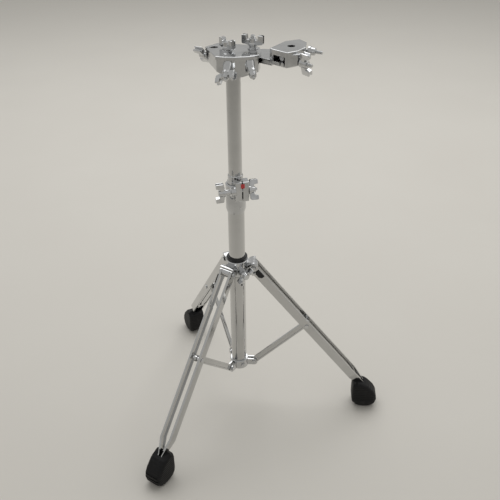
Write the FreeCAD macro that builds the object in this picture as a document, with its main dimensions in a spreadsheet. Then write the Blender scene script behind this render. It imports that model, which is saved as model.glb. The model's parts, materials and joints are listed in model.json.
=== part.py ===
"""Double-braced tripod stand with a twin clamp head, for a pair of small drums.

Millimetres, +Z up. The tube axis is X = Y = 0 and the floor is Z = 0.
A leg is drawn in its own plane (X outward, Y sideways) and turned to its bearing.
"""

import FreeCAD, Part
import math
import os
import re
import Sketcher

V = FreeCAD.Vector
X_AXIS = V(1, 0, 0)
Y_AXIS = V(0, 1, 0)
Z_AXIS = V(0, 0, 1)
ORIGIN = V(0, 0, 0)

SIZES = {
    # tubes
    "BaseRad": 15.875, "BaseWall": 1.6, "BaseBottom": 99.5, "BaseTop": 512.0,
    "MidRad": 12.7, "MidWall": 1.5, "MidBottom": 250.0, "MidTop": 770.0,
    "FitGap": 0.1, "RunGap": 0.05, "FaceGap": 0.4,
    # bearings, degrees from +X
    "LegBearing": -125.6, "BoltBearing": -65.6, "ClampBearing": -78.0,
    # leg strips
    "PivotR": 33.0, "PivotZ": 355.0, "LegTilt": 38.2, "StripHalf": 9.0,
    "StripSheet": 1.8, "StripFlange": 4.5, "StripOut": 13.2,
    "BendAt": 342.6, "TipAt": 375.6, "StripEnd": 388.0, "TipOut": 5.1, "TipHalf": 6.5,
    "BraceAt": 177.2, "PinRad": 3.0, "RivetRad": 2.5, "PadThick": 3.0,
    # braces and lower hub
    "HubPinR": 32.0, "HubPinZ": 108.0, "BraceHalf": 6.75, "BraceThick": 5.0,
    "HubLow": 97.0, "HubHigh": 118.0, "HubRad": 19.4, "EarIn": 3.1, "EarOut": 6.1,
    # collar
    "CollarLow": 338.0, "CollarHigh": 372.0, "CollarRad": 21.4, "CollarBore": 18.0,
    "BushTop": 379.0, "BushRad": 20.3, "CollarEar": 8.3, "HoodIn": 10.4, "HoodOut": 13.0,
    "HoodHalf": 15.0, "BossRad": 8.5, "BossR": 31.0, "BoltZ": 351.0,
    # feet
    "FootR": 275.0, "FootHalf": 19.0, "FootHigh": 60.0, "FootBack": 27.0,
    # height clamp and memory lock
    "ClampLow": 479.0, "ClampHigh": 538.0, "ClampRad": 19.0, "EarLow": 513.0, "EarHigh": 552.0,
    "EarFront": 33.0, "EarLeft": 7.0, "EarRight": 18.5, "EarCore": 17.7, "LugFace": 15.0, "NeckLong": 10.0,
    "ClampBoltR": 26.5, "ClampBoltZ": 533.0, "LockHigh": 555.5, "LockRad": 14.2, "LockScrewZ": 551.0,
    # threaded parts
    "StudRad": 4.0, "ThinStud": 3.1, "WingSpan": 19.0, "WingHigh": 17.0, "WingThick": 9.0,
    "HubHeight": 12.4,
    # head
    "HeadLow": 744.0, "HeadPlate": 773.0, "HeadTop": 779.0, "FrontStud": 38.0,
    "CentrePinX": -8.7, "CentrePinY": 11.5, "SocketX": -31.0, "SocketY": 28.0,
    "SocketRad": 6.4, "SocketBoltZ": 763.0, "SocketBoltBase": 16.2,
    # swinging arm and clamp block
    "ArmLow": 763.0, "ArmPinX": 34.0, "ArmPinY": 14.0, "ArmEnd": 23.0, "ArmStudTop": 802.0,
    "BlockLow": 769.0, "BlockHigh": 794.0,
    "BlockSocketX": 94.8, "BlockSocketY": -27.0,
}

doc = FreeCAD.newDocument("stand")
sheet = doc.addObject("Spreadsheet::Sheet", "Params")
for row, (alias, value) in enumerate(SIZES.items(), start=1):
    sheet.set("A%d" % row, alias)
    sheet.set("B%d" % row, repr(value))
    sheet.setAlias("B%d" % row, alias)
doc.recompute()

pieces = []


# ---------------------------------------------------------------- helpers
def number(text):
    """Value of a size written with sheet names."""
    return float(sheet.evalExpression(str(text)))


def expression(text):
    return re.sub(r"\b([A-Z][A-Za-z]+)\b", r"Params.\1", str(text))


def bind(obj, prop, text):
    obj.setExpression(prop, expression(text))


def outline(body, name, role, points, offset="0"):
    """Closed, fully dimensioned polygon in one of the body's own planes."""
    sketch = body.newObject("Sketcher::SketchObject", name)
    plane = [item for item in body.Origin.OriginFeatures if item.Role == role][0]
    sketch.AttachmentSupport = [(plane, "")]
    sketch.MapMode = "FlatFace"
    sketch.AttachmentOffset = FreeCAD.Placement(V(0, 0, number(offset)), FreeCAD.Rotation())
    values = [(number(x), number(y)) for x, y in points]
    count = len(points)
    for i in range(count):
        x0, y0 = values[i]
        x1, y1 = values[(i + 1) % count]
        sketch.addGeometry(Part.LineSegment(V(x0, y0, 0), V(x1, y1, 0)), False)
    for i in range(count):
        sketch.addConstraint(Sketcher.Constraint("Coincident", i, 2, (i + 1) % count, 1))
    for i in range(count):
        for k, kind in enumerate(("DistanceX", "DistanceY")):
            if abs(values[i][k]) < 1e-9:
                axis = -2 if k == 0 else -1
                sketch.addConstraint(Sketcher.Constraint("PointOnObject", i, 1, axis))
                continue
            index = sketch.addConstraint(Sketcher.Constraint(kind, -1, 1, i, 1, values[i][k]))
            bind(sketch, "Constraints[%d]" % index, points[i][k])
    return sketch


def prism(name, role, points, length, offset="0", symmetric=True):
    """Polygon padded square to its plane."""
    body = doc.addObject("PartDesign::Body", name)
    sketch = outline(body, name + "_outline", role, points, offset)
    pad = body.newObject("PartDesign::Pad", name + "_pad")
    pad.Profile = sketch
    pad.SideType = "Symmetric" if symmetric else "One side"
    bind(pad, "Length", length)
    body.Tip = pad
    return body


def turned(name, points):
    """Half profile (radius, height) turned about Z."""
    body = doc.addObject("PartDesign::Body", name)
    sketch = outline(body, name + "_profile", "XZ_Plane", points)
    spin = body.newObject("PartDesign::Revolution", name + "_turn")
    spin.Profile = sketch
    spin.ReferenceAxis = (sketch, ["V_Axis"])
    spin.Angle = 360
    body.Tip = spin
    return body


def rod(name, radius, length, at=("0", "0", "0"), axis=Z_AXIS):
    """Round bar from a point along an axis."""
    bar = doc.addObject("Part::Cylinder", name)
    bind(bar, "Radius", radius)
    bind(bar, "Height", length)
    bar.Placement = FreeCAD.Placement(V(*[number(t) for t in at]), FreeCAD.Rotation(Z_AXIS, axis))
    for key, text in zip("xyz", at):
        bind(bar, "Placement.Base." + key, text)
    return bar


def block(name, low, high):
    """Box between two corners."""
    box = doc.addObject("Part::Box", name)
    for key, prop, a, b in zip("xyz", ("Length", "Width", "Height"), low, high):
        bind(box, prop, "(%s) - (%s)" % (b, a))
        bind(box, "Placement.Base." + key, a)
    return box


def fuse(name, items):
    result = doc.addObject("Part::MultiFuse", name)
    result.Shapes = items
    result.Refine = True
    return result


def cut(name, base, tools):
    tool = tools[0] if len(tools) == 1 else fuse(name + "_tools", tools)
    result = doc.addObject("Part::Cut", name)
    result.Base = base
    result.Tool = tool
    result.Refine = True
    return result


def common(name, items):
    result = doc.addObject("Part::MultiCommon", name)
    result.Shapes = items
    return result


def group(name, items):
    result = doc.addObject("Part::Compound", name)
    result.Links = items
    return result


def rounded(name, base, radius, wanted):
    """Round the edges picked by wanted(edge)."""
    doc.recompute()
    result = doc.addObject("Part::Fillet", name)
    result.Base = base
    picked = [i for i, e in enumerate(base.Shape.Edges, start=1) if wanted(e)]
    result.Edges = [(i, radius, radius) for i in picked]
    return result


def moved(obj, place):
    """Carry an object, with whatever placement it has, to a new frame."""
    holder = doc.addObject("Part::Compound", obj.Name + "_at")
    holder.Links = [obj]
    holder.Placement = place
    return holder


def piece(label, obj, place=None):
    """Final sub-part: one named node, one file."""
    if place is not None:
        obj = moved(obj, place)
    obj.Label = label
    pieces.append((label, obj))
    return obj


def bearing(angle):
    return FreeCAD.Placement(ORIGIN, FreeCAD.Rotation(Z_AXIS, angle))


def facing(at, axis, spin=0.0):
    """Frame with its Z along axis, standing at a point, turned by spin about that axis."""
    turn = FreeCAD.Rotation(Z_AXIS, axis).multiply(FreeCAD.Rotation(Z_AXIS, spin))
    return FreeCAD.Placement(V(*at), turn)


def along_z(edge):
    direction = edge.Vertexes[-1].Point.sub(edge.Vertexes[0].Point)
    return direction.Length > 1.0 and abs(direction.normalize().z) > 0.999


# ---------------------------------------------------------------- threaded hardware
def nut_cone(name, bore):
    """Stepped round nut, its base at Z = 0 and its axis on Z."""
    return turned(name, [
        (bore, "0"), ("8", "0"), ("8", "3.4"), ("6.6", "5"), ("6", "HubHeight - 1"), ("5", "HubHeight"),
        (bore, "HubHeight"),
    ])


def wing_body(name, bore):
    """The same nut with two thick ears, each grooved down its outer face."""
    ears = []
    grooves = []
    for side in ("", "-"):
        tag = name + ("_ear_b" if side else "_ear_a")
        ear = prism(tag, "XZ_Plane", [
            (side + "5.4", "1"), (side + "11", "1.2"), (side + "18", "2.5"), (side + "WingSpan", "4"),
            (side + "WingSpan", "WingHigh"), (side + "10.5", "WingHigh"), (side + "9.4", "10"),
            (side + "5.4", "9"),
        ], "WingThick")
        ear = rounded(tag + "_round", ear, 1.6, ear_corner)
        ears.append(rounded(tag + "_soft", ear, 0.8, ear_rim))
        near, far = ("WingSpan - 4", "WingSpan + 5") if side == "" else ("-WingSpan - 5", "4 - WingSpan")
        grooves.append(block(tag + "_groove", (near, "-2.2", "-1"), (far, "2.2", "WingHigh + 2")))
    shape = cut(name + "_ears", fuse(name + "_pair", ears), grooves)
    return cut(name + "_blank", fuse(name + "_joined", [shape, nut_cone(name + "_hub", bore)]),
               [rod(name + "_hole", bore, "HubHeight + 1")])


def ear_corner(edge):
    """Corner edges at the outer end of an ear."""
    box = edge.BoundBox
    far = min(abs(box.XMin), abs(box.XMax)) > 11.8
    return far and box.XLength < 1e-6 and box.ZLength < 1e-6


def ear_rim(edge):
    """Outline of an ear's side faces, clear of the hub."""
    box = edge.BoundBox
    return box.YLength < 1e-6 and max(abs(box.XMin), abs(box.XMax)) > 5.6


def wing_nut(label, at, axis, spin, bore="StudRad + RunGap"):
    return piece(label, wing_body(label, bore), facing(at, axis, spin))


def cone_nut(label, at, axis, bore="ThinStud + RunGap"):
    return piece(label, nut_cone(label, bore), facing(at, axis))


def wing_bolt(label, at, axis, spin, shank, radius="StudRad - RunGap", neck=None):
    """Wing head with a plain shank, and a neck if it stands off, running back from its base."""
    parts = [
        wing_body(label, radius),
        rod(label + "_stem", radius, "(%s) + HubHeight" % shank, ("0", "0", "-(%s)" % shank)),
    ]
    if neck:
        parts.append(rod(label + "_neck", "5", neck, ("0", "0", "-(%s)" % neck)))
    return piece(label, fuse(label + "_whole", parts), facing(at, axis, spin))


def bore_along(name, radius, length, at, axis):
    """Round hole tool from a point along a slanting axis."""
    return moved(rod(name, radius, length), facing(at, axis))


# ---------------------------------------------------------------- base tube and lower hub
piece("base_tube", turned("base_tube_body", [
    ("BaseRad - BaseWall", "BaseBottom"), ("BaseRad", "BaseBottom"),
    ("BaseRad", "BaseTop"), ("BaseRad - BaseWall", "BaseTop"),
]))

hub_ring = turned("hub_ring", [
    ("9", "HubLow"), ("HubRad - 1.5", "HubLow"), ("HubRad", "HubLow + 1.5"),
    ("HubRad", "HubHigh - 1.2"), ("HubRad - 1.2", "HubHigh"), ("BaseRad", "HubHigh"),
    ("BaseRad", "BaseBottom"), ("9", "BaseBottom"),
])
hub_items = [hub_ring]
hub_holes = []
for k in range(3):
    for side in (-1, 1):
        tag = "hub_ear_%d%s" % (k, "ab"[side > 0])
        low_y, high_y = ("EarIn", "EarOut") if side > 0 else ("-EarOut", "-EarIn")
        ear = fuse(tag, [
            block(tag + "_web", ("HubRad - 3", low_y, "HubPinZ - 7.5"), ("HubPinR", high_y,
                                                                         "HubPinZ + 7.5")),
            rod(tag + "_eye", "7.5", "EarOut - EarIn", ("HubPinR", low_y, "HubPinZ"), Y_AXIS),
        ])
        hub_items.append(moved(ear, bearing(number("LegBearing") + 120 * k)))
        hole = rod(tag + "_hole", "RivetRad", "EarOut - EarIn", ("HubPinR", low_y, "HubPinZ"), Y_AXIS)
        hub_holes.append(moved(hole, bearing(number("LegBearing") + 120 * k)))
hub_screw_hole = rod("hub_screw_hole", "2.5", "8", ("BaseRad", "0", "HubPinZ"), X_AXIS)
hub_holes.append(moved(hub_screw_hole, bearing(number("BoltBearing"))))
piece("lower_hub", cut("hub_casting", fuse("hub_blank", hub_items), hub_holes))

screw = fuse("hub_screw_body", [
    rod("hub_screw_shank", "2.5", "HubRad - BaseRad + 0.5", ("BaseRad", "0", "HubPinZ"), X_AXIS),
    rod("hub_screw_head", "4.2", "2.4", ("HubRad", "0", "HubPinZ"), X_AXIS),
])
screw_slot = block("hub_screw_slot", ("HubRad + 1.4", "-0.6", "HubPinZ - 5"), ("HubRad + 3", "0.6",
                                                                               "HubPinZ + 5"))
piece("hub_screw", cut("hub_screw_slotted", screw, [screw_slot]), bearing(number("BoltBearing")))

hub_pins = []
for k in range(3):
    for side in (-1, 1):
        tag = "hub_pin_%d%s" % (k, "ab"[side > 0])
        start = "EarIn" if side > 0 else "-EarIn"
        head_at = "EarOut" if side > 0 else "-EarOut"
        axis = V(0, side, 0)
        pin = fuse(tag, [
            rod(tag + "_stub", "RivetRad", "EarOut - EarIn", ("HubPinR", start, "HubPinZ"), axis),
            rod(tag + "_head", "4.4", "2", ("HubPinR", head_at, "HubPinZ"), axis),
        ])
        hub_pins.append(moved(pin, bearing(number("LegBearing") + 120 * k)))
piece("hub_pins", group("hub_pins_group", hub_pins))


# ---------------------------------------------------------------- leg collar
collar_ring = turned("collar_ring", [
    ("CollarBore", "CollarLow"), ("CollarRad - 1.5", "CollarLow"), ("CollarRad", "CollarLow + 1.5"),
    ("CollarRad", "CollarHigh - 1.5"), ("CollarRad - 1.5", "CollarHigh"), ("CollarBore", "CollarHigh"),
])
collar_items = [collar_ring]
collar_holes = [rod("collar_bore", "CollarBore", "60", ("0", "0", "CollarLow - 10"))]
for k in range(3):
    tag = "collar_ear_%d" % k
    at = bearing(number("LegBearing") + 120 * k)
    web = block(tag + "_web", ("CollarBore", "-CollarEar", "PivotZ - 9"), ("PivotR", "CollarEar",
                                                                           "PivotZ + 8"))
    eye = rod(tag + "_eye", "9", "2 * CollarEar", ("PivotR", "-CollarEar", "PivotZ"), Y_AXIS)
    boss = rod(tag + "_boss", "6.4", "2 * StripOut - 2 * StripSheet - 2 * FaceGap",
               ("PivotR", "-(StripOut - StripSheet - FaceGap)", "PivotZ"), Y_AXIS)
    hood = cut(tag + "_hood", rod(tag + "_hood_out", "HoodOut", "2 * HoodHalf",
                                  ("PivotR", "-HoodHalf", "PivotZ"), Y_AXIS), [
        rod(tag + "_hood_in", "HoodIn", "2 * HoodHalf + 2", ("PivotR", "-HoodHalf - 1", "PivotZ"), Y_AXIS),
        block(tag + "_hood_low", ("PivotR - 20", "-20", "PivotZ - 20"), ("PivotR + 20", "20",
                                                                         "PivotZ - 6")),
        block(tag + "_hood_front", ("PivotR + 3", "-20", "PivotZ - 20"), ("PivotR + 20", "20",
                                                                          "PivotZ + 20")),
    ])
    rib = block(tag + "_rib", ("CollarBore", "-CollarEar", "PivotZ"), ("PivotR + 1", "CollarEar",
                                                                       "PivotZ + 11.4"))
    for item in (web, eye, boss, hood, rib):
        collar_items.append(moved(item, at))
    hole = rod(tag + "_hole", "PinRad + FitGap / 2", "40", ("PivotR", "-20", "PivotZ"), Y_AXIS)
    collar_holes.append(moved(hole, at))
boss_at = bearing(number("BoltBearing"))
collar_items.append(moved(rod("collar_boss", "BossRad", "BossR - CollarBore", ("CollarBore", "0",
                                                                               "BoltZ"), X_AXIS),
                          boss_at))
collar_holes.append(moved(rod("collar_thread", "StudRad", "20", ("CollarBore - 3", "0", "BoltZ"),
                              X_AXIS), boss_at))
piece("leg_collar", cut("collar_casting", fuse("collar_blank", collar_items), collar_holes))

collar_sleeve = turned("collar_sleeve", [
    ("BaseRad + FitGap", "CollarLow - 2"), ("CollarBore", "CollarLow - 2"), ("CollarBore", "CollarHigh"),
    ("BushRad", "CollarHigh"), ("BushRad", "BushTop - 1.5"), ("BushRad - 1.5", "BushTop"),
    ("BaseRad + FitGap", "BushTop"),
])
sleeve_hole = moved(rod("sleeve_hole", "StudRad + 0.3", "20", ("BaseRad - 3", "0", "BoltZ"), X_AXIS),
                    boss_at)
piece("collar_bushing", cut("collar_bushing_body", collar_sleeve, [sleeve_hole]))

pivot_bolts = []
for k in range(3):
    tag = "pivot_bolt_%d" % k
    bolt = fuse(tag, [
        rod(tag + "_pin", "PinRad", "2 * StripOut + 1", ("PivotR", "-StripOut - 0.5", "PivotZ"), Y_AXIS),
        rod(tag + "_head", "5.4", "3.2", ("PivotR", "-StripOut - 0.5", "PivotZ"), V(0, -1, 0)),
        rod(tag + "_nut", "5.4", "3.2", ("PivotR", "StripOut + 0.5", "PivotZ"), Y_AXIS),
    ])
    pivot_bolts.append(moved(bolt, bearing(number("LegBearing") + 120 * k)))
piece("leg_pivot_bolts", group("leg_pivot_bolts_group", pivot_bolts))

bolt_angle = math.radians(number("BoltBearing"))
bolt_axis = V(math.cos(bolt_angle), math.sin(bolt_angle), 0)
boss_face = number("BossR") + number("FaceGap")
wing_bolt("collar_wing_bolt", (bolt_axis.x * boss_face, bolt_axis.y * boss_face, number("BoltZ")),
          bolt_axis, 62.0, "BossR + FaceGap - BaseRad - 0.4")


# ---------------------------------------------------------------- legs
def strip(name, side):
    """Channel strip: long straight run, bent in towards its twin above the foot."""
    y = "" if side > 0 else "-"

    def band(tag, inset, floor, top, half):
        out = "StripOut - %s" % inset
        tip = "TipOut - %s" % inset
        return prism(name + tag, "YZ_Plane", [
            (y + "(%s)" % out, top), (y + "(%s)" % out, "-BendAt"), (y + "(%s)" % tip, "-TipAt"),
            (y + "(%s)" % tip, "-StripEnd - %s" % inset), (y + "(%s - %s)" % (tip, floor),
                                                           "-StripEnd - %s" % inset),
            (y + "(%s - %s)" % (tip, floor), "-TipAt"), (y + "(%s - %s)" % (out, floor), "-BendAt"),
            (y + "(%s - %s)" % (out, floor), top),
        ], half)

    outer = band("_band", "0", "StripFlange", "StripHalf", "2 * StripHalf")
    outer = rounded(name + "_rolled", outer, 1.4,
                    lambda e: abs(abs(e.CenterOfMass.y) - number("StripOut")) < 0.01
                    and along_z(e))
    inner = band("_trough", "StripSheet", "6", "StripHalf + 2", "2 * (StripHalf - StripSheet)")
    taper = prism(name + "_taper", "XZ_Plane", [
        ("-StripHalf", "StripHalf"), ("-StripHalf", "-BendAt"), ("-TipHalf", "-TipAt"), ("-TipHalf",
                                                                                         "-StripEnd"),
        ("TipHalf", "-StripEnd"), ("TipHalf", "-TipAt"), ("StripHalf", "-BendAt"), ("StripHalf",
                                                                                    "StripHalf"),
    ], "60")
    round_top = fuse(name + "_round_top", [
        rod(name + "_round", "StripHalf", "60", ("0", "-30", "0"), Y_AXIS),
        block(name + "_below", ("-12", "-30", "-StripEnd - 5"), ("12", "30", "0")),
    ])
    body = common(name + "_trimmed", [cut(name + "_channel", outer, [inner]), taper, round_top])
    holes = [rod(name + "_hole_a", "PinRad + RunGap", "60", ("0", "-30", "0"), Y_AXIS),
             rod(name + "_hole_b", "RivetRad", "60", ("0", "-30", "-BraceAt"), Y_AXIS)]
    return cut(name, body, holes)


def brace(name):
    """Flat bar with a shallow groove along each face, drawn from its leg eye down to its hub eye."""
    length = math.hypot(brace_leg.x - number("HubPinR"), brace_leg.z - number("HubPinZ"))
    bar = fuse(name + "_bar", [
        block(name + "_flat", ("-BraceHalf", "-BraceThick / 2", str(-length)), ("BraceHalf",
                                                                                "BraceThick / 2", "0")),
        rod(name + "_top", "BraceHalf", "BraceThick", ("0", "-BraceThick / 2", "0"), Y_AXIS),
        rod(name + "_low", "BraceHalf", "BraceThick", ("0", "-BraceThick / 2", str(-length)), Y_AXIS),
    ])
    grooves = []
    for tag, low, high in (("a", "BraceThick / 2 - 1.2", "BraceThick"), ("b", "-BraceThick",
                                                                         "1.2 - BraceThick / 2")):
        grooves.append(block(name + "_groove_" + tag, ("-3.4", low, str(12 - length)), ("3.4", high,
                                                                                        "-12")))
    grooves.append(rod(name + "_eye_a", "RivetRad + RunGap", "20", ("0", "-10", "0"), Y_AXIS))
    grooves.append(rod(name + "_eye_b", "RivetRad + RunGap", "20", ("0", "-10", str(-length)), Y_AXIS))
    return cut(name, bar, grooves)


tilt = math.radians(number("LegTilt"))
pivot = V(number("PivotR"), 0, number("PivotZ"))
down_leg = V(math.sin(tilt), 0, -math.cos(tilt))
brace_leg = pivot + down_leg * number("BraceAt")
hub_eye = V(number("HubPinR"), 0, number("HubPinZ"))
brace_tilt = math.degrees(math.atan2(brace_leg.x - hub_eye.x, brace_leg.z - hub_eye.z))


def foot(name, keepout):
    """Rubber foot with a flat sole, bulged heel, sunk tread grooves and a slot for the strip ends."""
    heel = prism(name + "_heel", "XZ_Plane", [
        ("FootR - 8", "0"), ("FootR + 8", "0"), ("FootR + 18", "3.5"), ("FootR + 25", "11"),
        ("FootR + 27.5", "21"), ("FootR + 26", "31"), ("FootR + 20", "42"), ("FootR + 8", "55"),
        ("FootR + 1", "FootHigh"), ("FootR - 16", "FootHigh + 6"), ("FootR - 25", "FootHigh - 2"),
        ("FootR - FootBack", "50"), ("FootR - FootBack", "21"), ("FootR - 24.5", "11"), ("FootR - 17.5",
                                                                                         "3.5"),
    ], "2 * FootHalf")
    soft = rounded(name + "_soft", heel, 8.0, side_edge)
    grooves = []
    for k, low in enumerate((14.0, 22.0, 30.0)):
        grooves.append(block(name + "_tread_%d" % k, ("FootR + 24.5", "-30", str(low)),
                             ("FootR + 40", "30", str(low + 2.2))))
    return cut(name, soft, grooves + [keepout])


def outer_edge(edge):
    """Outline of a pad's outer face."""
    box = edge.BoundBox
    return box.YLength < 1e-6 and box.YMin < -number("StripOut") - 1


def side_edge(edge):
    """Edges lying in the two side faces."""
    box = edge.BoundBox
    return box.YLength < 1e-6


for k, letter in enumerate("abc"):
    turn = bearing(number("LegBearing") + 120 * k)
    leg_frame = turn.multiply(FreeCAD.Placement(pivot, FreeCAD.Rotation(Y_AXIS, -number("LegTilt"))))
    brace_frame = turn.multiply(FreeCAD.Placement(brace_leg, FreeCAD.Rotation(Y_AXIS, brace_tilt)))
    for side, word in ((-1, "left"), (1, "right")):
        name = "leg_%s_%s_strip" % (letter, word)
        piece(name, strip(name + "_body", side), leg_frame)
    tag = "leg_%s_rivet" % letter
    reach = "StripOut - StripSheet"
    rivet = fuse(tag + "_body", [
        rod(tag + "_pin", "RivetRad", "2 * StripOut", ("0", "-StripOut", "-BraceAt"), Y_AXIS),
        rod(tag + "_head_a", "4.6", "1.8", ("0", "StripOut", "-BraceAt"), Y_AXIS),
        rod(tag + "_head_b", "4.6", "1.8", ("0", "-StripOut", "-BraceAt"), V(0, -1, 0)),
        rod(tag + "_sleeve_a", "4.8", "%s - BraceThick / 2 - 0.3" % reach,
            ("0", "BraceThick / 2 + 0.3", "-BraceAt"), Y_AXIS),
        rod(tag + "_sleeve_b", "4.8", "%s - BraceThick / 2 - 0.3" % reach,
            ("0", "-BraceThick / 2 - 0.3", "-BraceAt"), V(0, -1, 0)),
    ])
    piece(tag, rivet, leg_frame)
    tag = "leg_%s_stop_block" % letter
    pad = prism(tag + "_body", "XZ_Plane", [
        ("-3", "-8"), ("StripHalf - 1.5", "-8"), ("StripHalf - 1.5", "-26"), ("1", "-26"), ("-3", "-21"),
    ], "PadThick", "StripOut + PadThick / 2")
    piece(tag, rounded(tag + "_soft", pad, 0.8, outer_edge), leg_frame)
    tag = "leg_%s_foot" % letter
    slot = common(tag + "_slot", [
        prism(tag + "_slot_front", "YZ_Plane", [
            ("-TipOut", "-StripEnd"), ("-TipOut", "-TipAt"), ("-StripOut", "-BendAt"),
            ("StripOut", "-BendAt"), ("TipOut", "-TipAt"), ("TipOut", "-StripEnd"),
        ], "40"),
        prism(tag + "_slot_side", "XZ_Plane", [
            ("-TipHalf", "-StripEnd"), ("-TipHalf", "-TipAt"), ("-StripHalf", "-BendAt"),
            ("StripHalf", "-BendAt"), ("TipHalf", "-TipAt"), ("TipHalf", "-StripEnd"),
        ], "60"),
    ])
    slot = moved(slot, FreeCAD.Placement(pivot, FreeCAD.Rotation(Y_AXIS, -number("LegTilt"))))
    piece(tag, foot(tag + "_body", slot), turn)
    tag = "brace_%s" % letter
    piece(tag, brace(tag + "_body"), brace_frame)


# ---------------------------------------------------------------- height clamp
clamp_at = bearing(number("ClampBearing"))
clamp_shell = turned("clamp_shell", [
    ("BaseRad", "ClampLow"), ("BaseRad + 0.9", "ClampLow"), ("ClampRad", "ClampLow + 8"),
    ("ClampRad", "ClampHigh - 2"), ("ClampRad - 2", "ClampHigh"), ("MidRad + 1.6", "ClampHigh"),
    ("MidRad + 1.6", "BaseTop"), ("BaseRad", "BaseTop"),
])
clamp_ears = rounded("clamp_ears_soft", block("clamp_ears", ("MidRad + 2", "-EarLeft", "EarLow"),
                                             ("EarFront", "EarRight", "EarHigh")), 2.5,
                     lambda e: e.CenterOfMass.x > number("EarFront") - 0.01)
clamp_ears = cut("clamp_ears_open", clamp_ears, [
    rod("clamp_ears_core", "EarCore", "90", ("0", "0", "EarLow - 20")),
])
clamp_lug = rod("clamp_lug", "8.5", "LugFace - EarLeft + 1", ("ClampBoltR", "-LugFace", "ClampBoltZ"),
                Y_AXIS)
clamp_blank = fuse("clamp_blank", [clamp_shell, clamp_ears, clamp_lug])
dimple_at = bearing(-34.0)
screw_at = bearing(18.0)
clamp_holes = [
    block("clamp_slit", ("MidRad - 2", "4.8", "EarLow - 2"), ("EarFront + 5", "7.2", "EarHigh + 5")),
    block("clamp_key_notch", ("MidRad", "-1.5", "LockScrewZ - 5"), ("EarFront - 10", "8", "EarHigh + 5")),
    rod("clamp_cross_hole", "ThinStud", "60", ("ClampBoltR", "-30", "ClampBoltZ"), Y_AXIS),
    moved(rod("clamp_dimple", "4.5", "6", ("ClampRad - 2", "0", "EarLow + 3.5"), X_AXIS), dimple_at),
    moved(rod("clamp_screw_hole", "1.9", "10", ("BaseRad", "0", "ClampLow + 13.5"), X_AXIS), screw_at),
    moved(rod("clamp_screw_seat", "2.9", "10", ("ClampRad - 1.6", "0", "ClampLow + 13.5"), X_AXIS),
          screw_at),
]
piece("height_clamp", cut("clamp_casting", clamp_blank, clamp_holes), clamp_at)

clamp_screw = fuse("clamp_screw_body", [
    rod("clamp_screw_shank", "1.9", "ClampRad - BaseRad - 1", ("BaseRad", "0", "ClampLow + 13.5"), X_AXIS),
    rod("clamp_screw_head", "2.9", "2.2", ("ClampRad - 1.6", "0", "ClampLow + 13.5"), X_AXIS),
])
piece("clamp_screw", clamp_screw, clamp_at.multiply(screw_at))

piece("clamp_bushing", turned("clamp_bushing_body", [
    ("MidRad + FitGap", "BaseTop - 42"), ("MidRad + 1.5", "BaseTop - 42"), ("MidRad + 1.5",
                                                                            "ClampHigh - 0.2"),
    ("MidRad + FitGap", "ClampHigh - 0.2"),
]))

badge = fuse("clamp_badge_body", [
    rounded("clamp_badge_soft", block("clamp_badge_face", ("EarFront", "2.5", "EarHigh - 11"),
                                      ("EarFront + 1.4", "9.8", "EarHigh - 3")), 0.5,
            lambda e: e.CenterOfMass.x > number("EarFront") + 0.5),
    block("clamp_badge_stem", ("EarFront - 4", "4.9", "EarHigh - 10"), ("EarFront", "7.1", "EarHigh - 4")),
])
piece("clamp_badge", badge, clamp_at)

clamp_angle = math.radians(number("ClampBearing"))
clamp_out = V(math.cos(clamp_angle), math.sin(clamp_angle), 0)
clamp_side = V(-math.sin(clamp_angle), math.cos(clamp_angle), 0)
clamp_eye = clamp_out * number("ClampBoltR") + V(0, 0, number("ClampBoltZ"))
left_seat = clamp_eye - clamp_side * number("LugFace + NeckLong + FaceGap")
right_seat = clamp_eye + clamp_side * number("EarRight + FaceGap")
wing_bolt("clamp_wing_bolt", left_seat, -clamp_side, 8.0, "LugFace + NeckLong + FaceGap + 34",
          "ThinStud - RunGap", "NeckLong")
wing_nut("clamp_wing_nut", right_seat, clamp_side, -6.0, "ThinStud + RunGap")


# ---------------------------------------------------------------- middle tube and memory lock
piece("mid_tube", turned("mid_tube_body", [
    ("MidRad - MidWall", "MidBottom"), ("MidRad", "MidBottom"), ("MidRad", "MidTop"),
    ("MidRad - MidWall", "MidTop"),
]))
piece("mid_tube_glide", turned("mid_tube_glide_body", [
    ("MidRad", "MidBottom"), ("BaseRad - BaseWall - 0.08", "MidBottom + 1"),
    ("BaseRad - BaseWall - 0.08", "MidBottom + 17"), ("MidRad", "MidBottom + 18"),
]))

lock_at = bearing(-69.0)
lock_ring = turned("lock_ring", [
    ("MidRad", "ClampHigh + FaceGap"), ("LockRad + 0.9", "ClampHigh + FaceGap"), ("LockRad + 0.9",
                                                                                  "ClampHigh + 5"),
    ("LockRad", "ClampHigh + 6"), ("LockRad", "LockHigh - 2"), ("LockRad - 1", "LockHigh"), ("MidRad",
                                                                                             "LockHigh"),
])
lock_boss = rod("lock_boss", "4", "LockRad - MidRad + 2.6", ("MidRad", "0", "LockScrewZ"), X_AXIS)
lock_holes = [
    rod("lock_bore", "MidRad", "60", ("0", "0", "ClampHigh - 20")),
    rod("lock_screw_hole", "2.6", "20", ("MidRad", "0", "LockScrewZ"), X_AXIS),
    block("lock_split", ("-LockRad - 5", "-0.9", "ClampHigh"), ("-MidRad + 1", "0.9", "LockHigh + 2")),
]
piece("memory_lock", cut("lock_casting", fuse("lock_blank", [lock_ring, lock_boss]), lock_holes), lock_at)
lock_screw = fuse("lock_screw_body", [
    rod("lock_screw_shank", "2.6", "LockRad - MidRad + 2.6", ("MidRad", "0", "LockScrewZ"), X_AXIS),
    block("lock_screw_key", ("LockRad + 2.6", "-2.4", "LockScrewZ - 2.4"), ("LockRad + 6.8", "2.4",
                                                                            "LockScrewZ + 2.4")),
])
piece("memory_lock_screw", lock_screw, lock_at)


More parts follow.
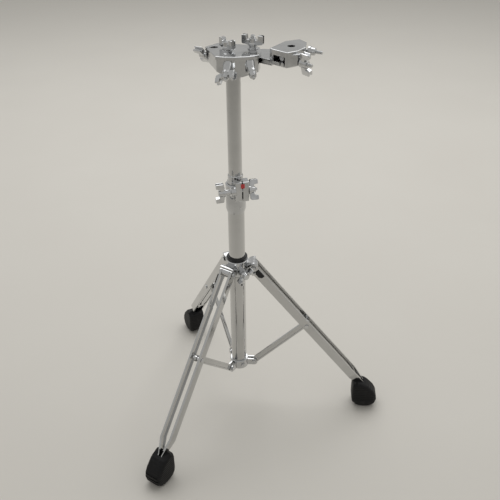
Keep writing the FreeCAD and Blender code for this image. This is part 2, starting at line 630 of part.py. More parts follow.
# ---------------------------------------------------------------- head casting
HEAD_PLAN = [
    ("-27", "-25"), ("-14", "-30"), ("3", "-31.6"), ("20", "-30"), ("33", "-26.5"), ("42", "-20"),
    ("46", "0"), ("45", "22"), ("37", "34"), ("16", "41"), ("-23", "54"), ("-45", "31"),
]
LIP_PLAN = [
    ("-28.5", "-26.3"), ("-14.4", "-31.5"), ("3", "-33.2"), ("20.4", "-31.5"), ("33.8", "-28"), ("43.4",
                                                                                                 "-21"),
    ("47.4", "0"), ("46.2", "22.6"), ("37.8", "35.2"), ("16.4", "42.4"), ("-23.4", "55.6"), ("-46.8",
                                                                                             "31.4"),
]


def upright(edge):
    """Vertical edges."""
    return edge.BoundBox.ZLength > 2.0 and edge.BoundBox.XLength < 1e-6 and edge.BoundBox.YLength < 1e-6


head_plan = rounded("head_plan_soft", prism("head_plan", "XY_Plane", HEAD_PLAN, "HeadPlate - HeadLow",
                                            "HeadLow", False),
                    3.0, upright)
head_belly = prism("head_belly", "XZ_Plane", [
    ("-60", "HeadLow + 14"), ("-28", "HeadLow + 10"), ("-15", "HeadLow + 3.5"), ("-2", "HeadLow"),
    ("14", "HeadLow + 1"), ("28", "HeadLow + 4"), ("60", "HeadLow + 9"), ("60", "HeadPlate"), ("-60",
                                                                                               "HeadPlate"),
], "200")
head_blank = common("head_blank", [head_plan, head_belly])
arm_pocket = prism("arm_pocket", "XY_Plane", [
    ("13", "0"), ("20", "-8"), ("36", "-13.6"), ("62", "-43"), ("140", "-20"), ("140", "90"), ("20",
        "70"), ("18", "38"),
], "12", "ArmLow - FaceGap", False)
socket_slit = moved(block("socket_slit", ("0", "-1.5", "HeadLow - 5"), ("30", "1.5", "HeadTop + 5")),
                    FreeCAD.Placement(V(number("SocketX"), number("SocketY"), 0),
                                      FreeCAD.Rotation(Z_AXIS, 197.8)))
socket_notch = moved(block("socket_notch", ("8.2", "-4.6", "HeadLow + 10"), ("30", "4.6", "HeadLow + 21")),
                     FreeCAD.Placement(V(number("SocketX"), number("SocketY"), 0),
                                       FreeCAD.Rotation(Z_AXIS, 197.8)))
head_holes = [
    rod("head_bore", "MidRad + RunGap", "40", ("0", "0", "HeadLow - 5")),
    rod("head_socket", "SocketRad", "60", ("SocketX", "SocketY", "HeadLow - 5")),
    rod("head_arm_hole", "StudRad", "60", ("ArmPinX", "ArmPinY", "HeadLow - 5")),
    rod("head_arm_well", "ArmEnd + 0.6", "12", ("ArmPinX", "ArmPinY", "ArmLow - FaceGap")),
    arm_pocket, socket_slit, socket_notch,
]
thread_axis = V(-0.85, 0.53, 0).normalize()
front_axes = {"left": V(-0.15, -0.80, -0.57).normalize(), "right": V(0.20, -0.79, -0.57).normalize()}
front_roots = {"left": V(-8, -28, 765.5), "right": V(27, -25, 767.0)}
thread = rod("socket_thread", "ThinStud", "30", ("SocketX", "SocketY", "SocketBoltZ"), thread_axis)
head_holes.append(thread)
front_bosses = []
for word in ("left", "right"):
    root = front_roots[word]
    boss = doc.addObject("Part::Cone", "front_boss_" + word)
    boss.Radius1 = 9.0
    boss.Radius2 = 6.4
    boss.Height = 18.6
    boss.Placement = facing(root - front_axes[word] * 3.0, front_axes[word])
    front_bosses.append(boss)
    head_holes.append(bore_along("front_hole_" + word, "ThinStud", "30", root - front_axes[word] * 6.0,
                                 front_axes[word]))
head_holes.append(block("head_plate_seat", ("-80", "-80", "HeadPlate"), ("80", "80", "HeadPlate + 20")))
piece("head_casting", cut("head_body", fuse("head_bossed", [head_blank] + front_bosses), head_holes))

lip = rounded("head_lip_soft", prism("head_lip", "XY_Plane", LIP_PLAN, "HeadTop - HeadPlate",
                                     "HeadPlate", False),
              3.0, upright)
lip = rounded("head_lip_rim", lip, 1.6,
              lambda e: e.BoundBox.ZLength < 1e-6 and e.BoundBox.ZMin > number("HeadTop") - 0.1)
piece("head_top_plate", cut("head_top_plate_body", lip, [
    rod("lip_socket", "SocketRad", "60", ("SocketX", "SocketY", "HeadLow")),
    rod("lip_arm_hole", "StudRad", "60", ("ArmPinX", "ArmPinY", "HeadLow")),
    rod("lip_centre_hole", "StudRad", "60", ("CentrePinX", "CentrePinY", "HeadLow")),
    moved(block("lip_slit", ("0", "-1.5", "HeadLow - 5"), ("30", "1.5", "HeadTop + 5")),
          FreeCAD.Placement(V(number("SocketX"), number("SocketY"), 0), FreeCAD.Rotation(Z_AXIS, 197.8))),
]))

for word in ("left", "right"):
    axis = front_axes[word]
    root = front_roots[word]
    tag = "front_%s_stud" % word
    shank = rounded(tag + "_tip", rod(tag + "_rod", "ThinStud", "FrontStud"), 1.0,
                    lambda e: e.BoundBox.ZMin > number("FrontStud") - 0.1)
    piece(tag, shank, facing(root - axis * 6.0, axis))

front_seat = 15.6 + number("FaceGap")
wing_nut("front_left_wing_nut", front_roots["left"] + front_axes["left"] * front_seat, front_axes["left"],
         18.0, "ThinStud + RunGap")
cone_nut("front_right_cone_nut", front_roots["right"] + front_axes["right"] * front_seat,
         front_axes["right"])

socket_at = V(number("SocketX"), number("SocketY"), number("SocketBoltZ"))
wing_bolt("socket_wing_bolt", socket_at + thread_axis * number("SocketBoltBase"), thread_axis, 102.0,
          "SocketBoltBase - SocketRad - 0.4", "ThinStud - RunGap")

piece("centre_stud", rounded("centre_stud_tip", rod("centre_stud_rod", "StudRad - RunGap", "19.5",
                                                    ("CentrePinX", "CentrePinY", "HeadPlate")),
                             1.0, lambda e: e.BoundBox.ZMin > number("HeadPlate") + 19))
piece("centre_washer", cut("centre_washer_body", rod("centre_washer_disc", "9.5", "0.8",
                                                     ("CentrePinX", "CentrePinY", "HeadTop")),
                           [rod("centre_washer_hole", "StudRad", "6", ("CentrePinX", "CentrePinY",
                                                                       "HeadTop - 1"))]))
wing_nut("centre_wing_nut", (number("CentrePinX"), number("CentrePinY"),
                             number("HeadTop") + 0.8 + number("FaceGap")),
         Z_AXIS, -57.8)

piece("arm_stud", rounded("arm_stud_tip", rod("arm_stud_rod", "StudRad - RunGap",
                                              "ArmStudTop - HeadLow - 7",
                                              ("ArmPinX", "ArmPinY", "HeadLow + 7")), 1.0,
                          lambda e: e.BoundBox.ZMin > number("ArmStudTop") - 0.1))
arm_washers = fuse("arm_washer_stack", [
    rod("arm_washer_low", "9", "2", ("ArmPinX", "ArmPinY", "HeadTop")),
    rod("arm_washer_high", "7", "3.6", ("ArmPinX", "ArmPinY", "HeadTop + 2")),
])
piece("arm_washers", cut("arm_washer_body", arm_washers, [
    rod("arm_washer_hole", "StudRad - RunGap", "10", ("ArmPinX", "ArmPinY", "HeadTop - 1"))]))
wing_nut("arm_wing_nut", (number("ArmPinX"), number("ArmPinY"),
                          number("HeadTop") + 5.6 + number("FaceGap")),
         Z_AXIS, -23.8)


# ---------------------------------------------------------------- swinging arm and its clamp block
BLOCK_PLAN = [
    ("59", "-36"), ("62.7", "-42"), ("85", "-65"), ("103", "-55"), ("118", "-34"), ("122", "-5"), ("112",
                                                                                                   "14"),
    ("86.7", "3.3"),
]
block_body = prism("block_plan", "XY_Plane", BLOCK_PLAN, "BlockHigh - BlockLow", "BlockLow", False)
block_body = rounded("block_upright", block_body, 3.0, upright)
block_body = rounded("block_soft", block_body, 1.4, lambda e: e.BoundBox.ZLength < 1e-6)

arm_sweep = fuse("arm_sweep", [
    rod("arm_end", "ArmEnd", "HeadPlate - FaceGap - ArmLow", ("ArmPinX", "ArmPinY", "ArmLow")),
    prism("arm_plan", "XY_Plane", [
        ("24", "-6.4"), ("39.5", "-10"), ("62", "-29"), ("84", "-52"), ("110", "-22"), ("98", "8"),
        ("62", "34"),
        ("34", "37"),
    ], "HeadPlate - FaceGap - ArmLow", "ArmLow", False),
])
arm_cuts = [
    rod("arm_eye", "StudRad", "40", ("ArmPinX", "ArmPinY", "ArmLow - 5")),
    prism("arm_block_seat", "XY_Plane", BLOCK_PLAN, "60", "BlockLow - 10", False),
]
piece("swing_arm", cut("swing_arm_body", arm_sweep, arm_cuts))

face_mid = V(73.9, -53.5, 0)
face_frame = FreeCAD.Placement(face_mid, FreeCAD.Rotation(Z_AXIS, 224.1))
block_cuts = [
    moved(block("block_window", ("-21", "-13", "BlockLow + 6.5"), ("6", "12", "BlockLow + 16.5")),
          face_frame),
    moved(block("block_slit_a", ("-7", "0.6", "BlockLow - 2"), ("6", "3", "BlockLow + 6.6")), face_frame),
    moved(block("block_slit_b", ("-7", "9.4", "BlockLow - 2"), ("6", "11.8", "BlockLow + 6.6")),
          face_frame),
    rod("block_socket", "SocketRad", "60", ("BlockSocketX", "BlockSocketY", "BlockLow - 10")),
]
stud_axes = {"upper": V(0.91, -0.41, -0.04).normalize(), "lower": V(0.70, -0.71, -0.08).normalize()}
stud_roots = {"upper": V(111, -15, 784.5), "lower": V(96, -43, 777.5)}
stud_seats = {"upper": 13.8, "lower": 19.2}
stud_lengths = {"upper": 38.0, "lower": 40.5}
for word in ("upper", "lower"):
    block_cuts.append(bore_along("block_thread_" + word, "ThinStud", "60", stud_roots[word],
                                 stud_axes[word]))
jaw_plan = rod("jaw_barrel", "11.5", "BlockHigh - BlockLow - 6", ("98", "-50", "BlockLow + 2"))
jaw = cut("jaw_round", rounded("jaw_soft", jaw_plan, 1.5, lambda e: e.BoundBox.ZLength < 1e-6),
          [prism("jaw_seat", "XY_Plane", BLOCK_PLAN, "60", "BlockLow - 10", False)])
jaw_thread = bore_along("jaw_thread", "ThinStud", "60", stud_roots["lower"], stud_axes["lower"])
piece("arm_block", cut("arm_block_body", block_body, block_cuts))
piece("arm_block_jaw", cut("arm_block_jaw_body", jaw, [jaw_thread]))
plunger = moved(rod("block_plunger_rod", "4.4", "14", ("-20.6", "-1", "BlockLow + 11.5"), X_AXIS),
                face_frame)
piece("arm_block_plunger", plunger)

for word in ("upper", "lower"):
    tag = "block_%s_stud" % word
    axis = stud_axes[word]
    length = stud_lengths[word]
    shank = rounded(tag + "_tip", rod(tag + "_rod", "ThinStud", str(length)), 1.2,
                    lambda e, top=length: e.BoundBox.ZMin > top - 0.1)
    piece(tag, shank, facing(stud_roots[word], axis))
cone_nut("block_upper_cone_nut", stud_roots["upper"] + stud_axes["upper"] * stud_seats["upper"],
         stud_axes["upper"])
wing_nut("block_lower_wing_nut", stud_roots["lower"] + stud_axes["lower"] * stud_seats["lower"],
         stud_axes["lower"],
         150.0, "ThinStud + RunGap")


# ---------------------------------------------------------------- export
def export():
    doc.recompute()
    os.makedirs("parts", exist_ok=True)
    for item in doc.Objects:
        if "Invalid" in item.State or "Error" in item.State:
            raise RuntimeError("%s did not build" % item.Name)
    for label, obj in pieces:
        shape = obj.Shape
        if shape.isNull() or not shape.isValid() or not shape.Solids:
            raise RuntimeError("%s has no valid solid" % label)
        shape.exportStep("parts/%s.step" % label)


export()
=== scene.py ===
"""Looks for the double-braced tripod drum stand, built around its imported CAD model.

Metres, +Z up, the tube axis at X = Y = 0 and the floor at Z = 0, as in the CAD model.
"""

import json
import math

import bmesh
import bpy
from mathutils import Matrix, Vector


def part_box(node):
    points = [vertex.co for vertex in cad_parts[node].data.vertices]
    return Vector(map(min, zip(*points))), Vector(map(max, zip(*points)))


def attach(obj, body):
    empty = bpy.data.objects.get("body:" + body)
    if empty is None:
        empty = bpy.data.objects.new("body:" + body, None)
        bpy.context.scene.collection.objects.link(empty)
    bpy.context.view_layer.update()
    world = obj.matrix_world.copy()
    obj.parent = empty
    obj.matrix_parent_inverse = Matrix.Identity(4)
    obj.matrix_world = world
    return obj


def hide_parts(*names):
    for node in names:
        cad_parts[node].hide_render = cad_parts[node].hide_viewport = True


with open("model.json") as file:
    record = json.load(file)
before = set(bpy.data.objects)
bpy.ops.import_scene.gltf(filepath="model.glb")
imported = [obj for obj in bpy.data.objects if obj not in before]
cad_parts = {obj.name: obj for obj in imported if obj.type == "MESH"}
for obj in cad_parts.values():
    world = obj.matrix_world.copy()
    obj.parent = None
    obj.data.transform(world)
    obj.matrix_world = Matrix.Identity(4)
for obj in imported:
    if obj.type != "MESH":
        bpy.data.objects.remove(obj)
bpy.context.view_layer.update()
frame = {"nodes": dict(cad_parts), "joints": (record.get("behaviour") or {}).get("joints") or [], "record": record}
nodes = frame["nodes"]
record = frame["record"]
joints = {j["name"]: j for j in frame["joints"]}
body_of_node = {n: b for b, names in record["behaviour"]["bodies"].items() for n in names}
slot_of_node = {s["node"]: s["material_slot"] for s in record["subparts"]}

MM = 0.001
TURN = 2 * math.pi


# ---------------------------------------------------------------- material nodes
class Shader:
    """One procedural material, with short calls for the nodes it uses."""

    def __init__(self, name):
        self.material = bpy.data.materials.new(name)
        self.material.use_nodes = True
        self.tree = self.material.node_tree
        self.bsdf = self.tree.nodes["Principled BSDF"]
        self.coords = self.tree.nodes.new("ShaderNodeTexCoord")

    def node(self, kind, **settings):
        made = self.tree.nodes.new(kind)
        for key, value in settings.items():
            setattr(made, key, value)
        return made

    def link(self, source, target):
        self.tree.links.new(source, target)

    def noise(self, scale, detail=4.0, roughness=0.55, stretch=(1, 1, 1), turn=(0, 0, 0)):
        """Noise in the object's own coordinates; stretch above 1 makes it finer along that axis."""
        mapping = self.node("ShaderNodeMapping")
        mapping.inputs["Scale"].default_value = stretch
        mapping.inputs["Rotation"].default_value = turn
        self.link(self.coords.outputs["Object"], mapping.inputs["Vector"])
        tex = self.node("ShaderNodeTexNoise")
        tex.inputs["Scale"].default_value = scale
        tex.inputs["Detail"].default_value = detail
        tex.inputs["Roughness"].default_value = roughness
        self.link(mapping.outputs["Vector"], tex.inputs["Vector"])
        return tex.outputs["Fac"]

    def span(self, value, low_in, high_in, low_out, high_out):
        """Value carried from one range to another and held at the ends."""
        ranged = self.node("ShaderNodeMapRange")
        ends = {"From Min": low_in, "From Max": high_in, "To Min": low_out, "To Max": high_out}
        for key, number in ends.items():
            ranged.inputs[key].default_value = number
        self.link(value, ranged.inputs["Value"])
        return ranged.outputs["Result"]

    def math(self, operation, first, second):
        made = self.node("ShaderNodeMath", operation=operation)
        for socket, value in zip(made.inputs, (first, second)):
            if isinstance(value, (int, float)):
                socket.default_value = value
            else:
                self.link(value, socket)
        return made.outputs["Value"]

    def blend(self, factor, first, second):
        """Mix of two colours, each a tuple or another node's output."""
        mix = self.node("ShaderNodeMix", data_type="RGBA")
        self.link(factor, mix.inputs["Factor"])
        for key, value in (("A", first), ("B", second)):
            socket = [s for s in mix.inputs if s.name == key and s.type == "RGBA"][0]
            if isinstance(value, tuple):
                socket.default_value = (*value, 1)
            else:
                self.link(value, socket)
        return [s for s in mix.outputs if s.type == "RGBA"][0]

    def height(self):
        """Height above the floor at rest, from the object's own coordinates."""
        split = self.node("ShaderNodeSeparateXYZ")
        self.link(self.coords.outputs["Object"], split.inputs["Vector"])
        return split.outputs["Z"]

    def bump(self, value, distance, strength, under=None):
        made = self.node("ShaderNodeBump")
        made.inputs["Distance"].default_value = distance
        made.inputs["Strength"].default_value = strength
        self.link(value, made.inputs["Height"])
        if under is not None:
            self.link(under, made.inputs["Normal"])
        return made.outputs["Normal"]

    def finish(self, color=None, rough=None, normal=None, **constants):
        for key, value in constants.items():
            self.bsdf.inputs[key.replace("_", " ")].default_value = value
        for key, value in (("Base Color", color), ("Roughness", rough), ("Normal", normal)):
            if value is not None:
                self.link(value, self.bsdf.inputs[key])
        return self.material


def chrome(name, clean, dull, rough_low, rough_high, waviness, line_stretch):
    """Bright plating: finger smudges, hairline polishing marks and a slow waviness in the reflections."""
    s = Shader(name)
    smudge = s.span(s.noise(26, 5, 0.62), 0.42, 0.68, 0, 1)
    wipe = s.span(s.noise(9, 3, 0.5, (1, 1, 3)), 0.45, 0.7, 0, 1)
    haze = s.math("MULTIPLY", smudge, wipe)
    specks = s.span(s.noise(900, 2, 0.5), 0.70, 0.78, 0, 1)
    lines = s.noise(420, 3, 0.6, line_stretch)
    color = s.blend(haze, clean, dull)
    color = s.blend(s.math("MULTIPLY", specks, 0.35), color, tuple(0.5 * c for c in dull))
    rough = s.span(haze, 0, 1, rough_low, rough_high)
    rough = s.math("ADD", rough, s.span(lines, 0.55, 0.75, 0, 0.035))
    slow = s.bump(s.noise(34, 2, 0.4), 0.0006, waviness)
    fine = s.bump(lines, 0.00003, 0.35, slow)
    return s.finish(color, rough, fine, Metallic=1.0)


def cast_chrome(name):
    """Plating over a die casting: the skin's faint orange peel, softened detail and grime in the pits."""
    s = Shader(name)
    peel = s.noise(260, 3, 0.5)
    smudge = s.span(s.noise(31, 5, 0.6), 0.42, 0.70, 0, 1)
    pits = s.span(s.noise(640, 2, 0.5), 0.69, 0.76, 0, 1)
    color = s.blend(smudge, (0.63, 0.635, 0.64), (0.52, 0.525, 0.53))
    color = s.blend(s.math("MULTIPLY", pits, 0.6), color, (0.20, 0.20, 0.20))
    rough = s.span(smudge, 0, 1, 0.07, 0.17)
    rough = s.math("ADD", rough, s.math("MULTIPLY", pits, 0.12))
    slow = s.bump(s.noise(48, 2, 0.5), 0.0008, 0.30)
    fine = s.bump(peel, 0.00006, 0.40, slow)
    return s.finish(color, rough, fine, Metallic=1.0)


def hardware_chrome(name):
    """Plated screws and wing parts: a little duller, with rubbed scratches across them."""
    s = Shader(name)
    scratch_a = s.noise(520, 3, 0.6, (1, 0.05, 1), (0.4, 0.2, 0.7))
    scratch_b = s.noise(610, 3, 0.6, (0.06, 1, 1), (0.9, 0.5, 0.1))
    scratches = s.span(s.math("MAXIMUM", scratch_a, scratch_b), 0.64, 0.76, 0, 1)
    smudge = s.span(s.noise(60, 4, 0.6), 0.42, 0.66, 0, 1)
    color = s.blend(smudge, (0.68, 0.685, 0.69), (0.56, 0.565, 0.57))
    color = s.blend(s.math("MULTIPLY", scratches, 0.5), color, (0.44, 0.44, 0.45))
    rough = s.math("ADD", s.span(smudge, 0, 1, 0.08, 0.20), s.math("MULTIPLY", scratches, 0.10))
    slow = s.bump(s.noise(75, 2, 0.5), 0.0005, 0.30)
    fine = s.bump(scratches, 0.00004, 0.5, slow)
    return s.finish(color, rough, fine, Metallic=1.0)


def rubber(name):
    """Matt moulded rubber: fine grain, scuffs, and floor dust on the lower edge."""
    s = Shader(name)
    grain = s.noise(1500, 3, 0.6)
    scuff = s.span(s.noise(90, 5, 0.65, (1, 1, 0.4)), 0.52, 0.74, 0, 1)
    dust_low = s.span(s.height(), 0.001, 0.022, 1, 0)
    dust = s.math("MULTIPLY", dust_low, s.span(s.noise(140, 5, 0.6), 0.38, 0.62, 0.15, 1))
    color = s.blend(scuff, (0.006, 0.006, 0.0065), (0.016, 0.016, 0.0165))
    color = s.blend(s.math("MULTIPLY", dust, 0.30), color, (0.10, 0.096, 0.09))
    rough = s.math("ADD", s.span(scuff, 0, 1, 0.52, 0.70), s.math("MULTIPLY", dust, 0.15))
    ribs = s.node("ShaderNodeTexWave", wave_type="BANDS", bands_direction="Z")
    ribs.inputs["Scale"].default_value = 62
    ribs.inputs["Distortion"].default_value = 0.4
    s.link(s.coords.outputs["Object"], ribs.inputs["Vector"])
    moulded = s.bump(ribs.outputs["Fac"], 0.0012, 0.35, s.bump(s.noise(160, 3, 0.5), 0.0004, 0.3))
    normal = s.bump(grain, 0.00010, 0.45, moulded)
    return s.finish(color, rough, normal, Specular_IOR_Level=0.22)


def nylon(name):
    """Black moulded nylon: satin, with faint flow marks and rubbed patches."""
    s = Shader(name)
    flow = s.noise(120, 4, 0.6, (1, 1, 0.3))
    rub = s.span(s.noise(210, 4, 0.6), 0.55, 0.72, 0, 1)
    color = s.blend(rub, (0.009, 0.009, 0.010), (0.024, 0.024, 0.025))
    rough = s.span(flow, 0.3, 0.7, 0.30, 0.46)
    normal = s.bump(s.noise(1200, 2, 0.5), 0.00005, 0.4, s.bump(flow, 0.0003, 0.25))
    return s.finish(color, rough, normal, Specular_IOR_Level=0.35)


def enamel(name):
    """Glossy red enamel with a little dust and fine wear."""
    s = Shader(name)
    wear = s.span(s.noise(700, 4, 0.6), 0.60, 0.75, 0, 1)
    tone = s.noise(160, 3, 0.5)
    color = s.blend(tone, (0.46, 0.012, 0.018), (0.60, 0.030, 0.030))
    color = s.blend(s.math("MULTIPLY", wear, 0.4), color, (0.30, 0.05, 0.05))
    rough = s.span(wear, 0, 1, 0.16, 0.36)
    normal = s.bump(s.noise(300, 2, 0.5), 0.0001, 0.3)
    return s.finish(color, rough, normal, Coat_Weight=0.6, Coat_Roughness=0.08)


def pale_floor(name):
    """Plain pale floor with a faint change of tone and a fine grain."""
    s = Shader(name)
    tone = s.noise(3.0, 4, 0.5)
    color = s.blend(tone, (0.60, 0.575, 0.53), (0.63, 0.61, 0.565))
    rough = s.span(tone, 0.3, 0.7, 0.5, 0.6)
    normal = s.bump(s.noise(400, 3, 0.5), 0.0001, 0.2)
    return s.finish(color, rough, normal, Specular_IOR_Level=0.25)


LOOKS = {
    "tube_chrome": chrome(
        "drawn_tube_plating", clean=(0.60, 0.60, 0.595), dull=(0.53, 0.53, 0.525),
        rough_low=0.035, rough_high=0.11, waviness=0.16, line_stretch=(1, 1, 0.03)),
    "strip_chrome": chrome(
        "rolled_strip_plating", clean=(0.60, 0.60, 0.595), dull=(0.52, 0.52, 0.515),
        rough_low=0.05, rough_high=0.14, waviness=0.26, line_stretch=(1, 1, 0.08)),
    "cast_chrome": cast_chrome("cast_plating"),
    "hardware_chrome": hardware_chrome("hardware_plating"),
    "black_nylon": nylon("black_nylon_moulding"),
    "black_rubber": rubber("black_rubber_moulding"),
    "red_enamel": enamel("red_enamel_face"),
}


# ---------------------------------------------------------------- mesh helpers
SMOOTH_ANGLE = 35
CORNER_STEPS = 4
CORNER_SHARE = 0.45         # most of an edge that one rounded corner may take
TUBE_SIDES = 160
SEAM_REACH = 0.0001 * MM
THREAD_SIDES = 36
THREAD_RINGS = 8            # rings of vertices to one pitch
THREAD_DEPTH = 0.55         # share of the pitch
FLANK_SLOPE = 1.25
CREST_FLAT = 0.12
TIP_LENGTH = 0.9 * MM
TIP_CUT = 1.1               # share of the thread's depth that the tip's chamfer takes off


def span_along(node, point, axis):
    """Lowest and highest distance of a CAD node's vertices along an axis, and their farthest from it."""
    low, high, far = math.inf, -math.inf, 0.0
    for v in nodes[node].data.vertices:
        rel = v.co - point
        t = rel.dot(axis)
        low, high = min(low, t), max(high, t)
        far = max(far, (rel - axis * t).length)
    return low, high, far


def add_piece(name, mesh, standing_for, smooth_angle=SMOOTH_ANGLE):
    """New piece in place of CAD nodes: rides on their body and takes their finish."""
    mesh.validate()
    mesh.shade_smooth()
    mesh.set_sharp_from_angle(angle=math.radians(smooth_angle))
    piece = bpy.data.objects.new(name, mesh)
    bpy.context.scene.collection.objects.link(piece)
    first = standing_for[0]
    mesh.materials.append(LOOKS[slot_of_node[first]])
    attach(piece, body_of_node[first])
    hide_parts(*standing_for)
    return piece


def frame_on(point, axis):
    """Matrix with its Z along axis, standing at a point."""
    turn = Vector((0, 0, 1)).rotation_difference(axis).to_matrix().to_4x4()
    return Matrix.Translation(point) @ turn


def skin_rings(bm, rings, close_ends):
    """Quads between rings of vertices, with flat ends where the solid is not hollow."""
    count = len(rings[0])
    for a, b in zip(rings, rings[1:]):
        for i in range(count):
            j = (i + 1) % count
            bm.faces.new((a[i], a[j], b[j], b[i]))
    if close_ends:
        bm.faces.new(list(reversed(rings[0])))
        bm.faces.new(rings[-1])


def ring_point(radius, angle, height):
    return Vector((radius * math.cos(angle), radius * math.sin(angle), height))


def turned_mesh(name, profile):
    """Closed profile of (radius, height) points, turned about Z."""
    bm = bmesh.new()
    rings = []
    for radius, height in profile + profile[:1]:
        rings.append([bm.verts.new(ring_point(radius, TURN * i / TUBE_SIDES, height))
                      for i in range(TUBE_SIDES)])
    skin_rings(bm, rings, False)
    bmesh.ops.remove_doubles(bm, verts=bm.verts, dist=SEAM_REACH)
    bmesh.ops.recalc_face_normals(bm, faces=bm.faces)
    mesh = bpy.data.meshes.new(name)
    bm.to_mesh(mesh)
    bm.free()
    return mesh


def rolled(corners, radius):
    """Profile polygon with every corner rounded."""
    out = []
    count = len(corners)
    for i in range(count):
        here = Vector(corners[i])
        before = Vector(corners[i - 1]) - here
        after = Vector(corners[(i + 1) % count]) - here
        reach = min(radius, CORNER_SHARE * before.length, CORNER_SHARE * after.length)
        a = here + before.normalized() * reach
        b = here + after.normalized() * reach
        for k in range(CORNER_STEPS + 1):
            t = k / CORNER_STEPS
            out.append(tuple(a * (1 - t) ** 2 + here * (2 * t * (1 - t)) + b * t * t))
    return out


def unit(value):
    """Value held between 0 and 1."""
    return min(1.0, max(0.0, value))


def threaded_mesh(name, place, radius, low, high, pitch):
    """Round bar with a rolled helical thread, chamfered at its free end."""
    depth = THREAD_DEPTH * pitch
    step = pitch / THREAD_RINGS
    count = int((high - low) / step)
    bm = bmesh.new()
    rings = []
    for k in range(count + 1):
        z = low + (high - low) * k / count
        room = unit((high - z) / TIP_LENGTH)
        fade = unit((z - low) / pitch)
        ring = []
        for i in range(THREAD_SIDES):
            phase = (z / pitch - i / THREAD_SIDES) % 1.0
            off_crest = abs(2 * phase - 1)
            groove = depth * fade * unit(FLANK_SLOPE * off_crest - CREST_FLAT)
            reach = min(radius - groove, radius - depth * (1 - room) * TIP_CUT)
            ring.append(bm.verts.new(place @ ring_point(reach, TURN * i / THREAD_SIDES, z)))
        rings.append(ring)
    skin_rings(bm, rings, True)
    bmesh.ops.recalc_face_normals(bm, faces=bm.faces)
    mesh = bpy.data.meshes.new(name)
    bm.to_mesh(mesh)
    bm.free()
    return mesh


def joint_frame(joint):
    point = Vector(joints[joint]["pos_m"])
    return point, Vector(joints[joint]["axis"]).normalized()


# ---------------------------------------------------------------- CAD nodes kept, with softened edges
EDGE_WIDTH = {
    "cast_chrome": 0.7 * MM,
    "strip_chrome": 0.35 * MM,
    "hardware_chrome": 0.35 * MM,
    "tube_chrome": 0.3 * MM,
    "black_nylon": 0.5 * MM,
    "black_rubber": 0.8 * MM,
    "red_enamel": 0.25 * MM,
}
WELD_REACH = 0.01 * MM
FLAT_ANGLE = math.radians(0.6)
EDGE_ANGLE = math.radians(28)
EDGE_STEPS = 3
FACE_WEIGHT = 60

for node_name, node in nodes.items():
    slot = slot_of_node[node_name]
    node.data.materials.clear()
    node.data.materials.append(LOOKS[slot])
    if "custom_normal" in node.data.attributes:
        node.data.attributes.remove(node.data.attributes["custom_normal"])
    node.data.shade_smooth()
    weld = node.modifiers.new("weld", "WELD")
    weld.merge_threshold = WELD_REACH
    flat = node.modifiers.new("flat", "DECIMATE")
    flat.decimate_type = "DISSOLVE"
    flat.angle_limit = FLAT_ANGLE
    edge = node.modifiers.new("edge", "BEVEL")
    edge.limit_method = "ANGLE"
    edge.angle_limit = EDGE_ANGLE
    edge.width = EDGE_WIDTH[slot]
    edge.segments = EDGE_STEPS
    edge.harden_normals = True
    edge.use_clamp_overlap = True
    shade = node.modifiers.new("shade", "WEIGHTED_NORMAL")
    shade.weight = FACE_WEIGHT


# ---------------------------------------------------------------- tubes
def tube_piece(name, wall, roll):
    low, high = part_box(name)
    outer = (high.x - low.x) / 2
    inner = outer - wall
    profile = rolled([(inner, low.z), (outer, low.z), (outer, high.z), (inner, high.z)], roll)
    add_piece(name + "_drawn", turned_mesh(name + "_drawn", profile), [name])


BASE_WALL, BASE_ROLL = 1.6 * MM, 0.5 * MM
MID_WALL, MID_ROLL = 1.5 * MM, 0.4 * MM
tube_piece("base_tube", BASE_WALL, BASE_ROLL)
tube_piece("mid_tube", MID_WALL, MID_ROLL)


# ---------------------------------------------------------------- studs with real threads
SMALL_PITCH = 1.0 * MM
LARGE_PITCH = 1.25 * MM
STUD_SMOOTH_ANGLE = 50
THREADS = {
    "front_left_stud": ("front_left_nut_turn", SMALL_PITCH),
    "front_right_stud": ("front_right_nut_turn", SMALL_PITCH),
    "block_upper_stud": ("block_upper_nut_turn", SMALL_PITCH),
    "block_lower_stud": ("block_lower_nut_turn", SMALL_PITCH),
    "centre_stud": ("centre_nut_turn", LARGE_PITCH),
    "arm_stud": ("arm_nut_turn", LARGE_PITCH),
}
for stud, (joint, pitch) in THREADS.items():
    point, axis = joint_frame(joint)
    low, high, radius = span_along(stud, point, axis)
    place = frame_on(point, axis)
    mesh = threaded_mesh(stud + "_rolled", place, radius, low, high, pitch)
    add_piece(stud + "_rolled", mesh, [stud], STUD_SMOOTH_ANGLE)


# ---------------------------------------------------------------- stage, light and camera
FLOOR_HALF = 12.0
WORLD_TONE = (0.96, 0.955, 0.93, 1)
WORLD_STRENGTH = 0.50
SIDE_LIGHT_TONE = (1.0, 0.97, 0.92)
CAMERA_LENS = 48.96
CAMERA_FILM = 36
CAMERA_REACH = 60

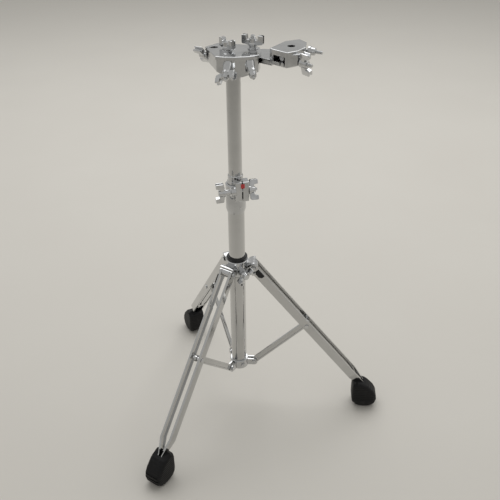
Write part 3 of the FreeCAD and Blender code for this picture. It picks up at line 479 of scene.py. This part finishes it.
floor_mesh = bpy.data.meshes.new("studio_floor")
floor_corners = [
    (-FLOOR_HALF, -FLOOR_HALF, 0), (FLOOR_HALF, -FLOOR_HALF, 0),
    (FLOOR_HALF, FLOOR_HALF, 0), (-FLOOR_HALF, FLOOR_HALF, 0),
]
floor_mesh.from_pydata(floor_corners, [], [(0, 1, 2, 3)])
floor = bpy.data.objects.new("studio_floor", floor_mesh)
bpy.context.scene.collection.objects.link(floor)
floor_mesh.materials.append(pale_floor("pale_floor"))

world = bpy.data.worlds.new("soft_studio")
bpy.context.scene.world = world
world.use_nodes = True
world.node_tree.nodes["Background"].inputs["Color"].default_value = WORLD_TONE
world.node_tree.nodes["Background"].inputs["Strength"].default_value = WORLD_STRENGTH


def soft_light(name, place, aim, size, power, color=(1, 1, 1), spread=180):
    data = bpy.data.lights.new(name, "AREA")
    data.shape = "RECTANGLE"
    data.size, data.size_y = size
    data.energy = power
    data.color = color
    data.spread = math.radians(spread)
    light = bpy.data.objects.new(name, data)
    light.location = place
    light.rotation_euler = (Vector(aim) - Vector(place)).to_track_quat("-Z", "Y").to_euler()
    bpy.context.scene.collection.objects.link(light)


soft_light("overhead", (0.1, 1.8, 3.0), (0, 0.9, 0), (4.0, 3.0), 46, spread=140)
soft_light("side", (2.4, 0.4, 1.7), (0, 0.2, 0.4), (1.4, 2.0), 3, SIDE_LIGHT_TONE)

CAMERA_AT = Vector((0.0, -1.1278, 1.1023))
PITCH, YAW, ROLL = (math.radians(a) for a in (32.29, 1.30, -0.55))
look = Vector((math.sin(YAW) * math.cos(PITCH), math.cos(YAW) * math.cos(PITCH), -math.sin(PITCH)))
level = Vector((math.cos(YAW), -math.sin(YAW), 0))
upward = level.cross(look)
right = level * math.cos(ROLL) + upward * math.sin(ROLL)
up = upward * math.cos(ROLL) - level * math.sin(ROLL)
camera_data = bpy.data.cameras.new("camera")
camera_data.sensor_width = CAMERA_FILM
camera_data.lens = CAMERA_LENS
camera_data.clip_end = CAMERA_REACH
camera = bpy.data.objects.new("camera", camera_data)
bpy.context.scene.collection.objects.link(camera)
camera.matrix_world = Matrix((
    (right.x, up.x, -look.x, CAMERA_AT.x),
    (right.y, up.y, -look.y, CAMERA_AT.y),
    (right.z, up.z, -look.z, CAMERA_AT.z),
    (0, 0, 0, 1),
))
bpy.context.scene.camera = camera
bpy.context.scene.view_settings.view_transform = "Standard"
